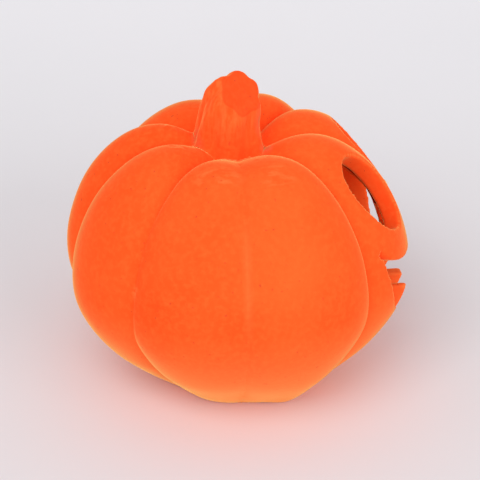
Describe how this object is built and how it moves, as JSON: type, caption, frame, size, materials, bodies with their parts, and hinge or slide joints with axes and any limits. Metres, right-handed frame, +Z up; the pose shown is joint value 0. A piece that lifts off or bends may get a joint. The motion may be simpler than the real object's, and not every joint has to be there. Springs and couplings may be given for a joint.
{
  "type": "pumpkin lantern figure",
  "caption": "Hollow ribbed ceramic pumpkin figure with a carved see-through face, a curved stem and a soft flocked surface, standing on a flat base.",
  "frame": {"origin": "centre of the flat base under the middle of the body, on the surface the figure stands on", "axes": "+Z up, -Y the direction the carved face looks, +X to the right when one stands in front of the face and looks at it"},
  "size_m": [0.1477, 0.1479, 0.1417],
  "materials": {
    "ceramic": "fired earthenware, coloured orange, matt",
    "flock": "short bright orange nylon flock, velvety"
  },
  "bodies": {
    "root": {"ceramic_shell": "ceramic", "ceramic_stem": "ceramic", "body_flock": "flock", "stem_flock": "flock"}
  },
  "joints": []
}
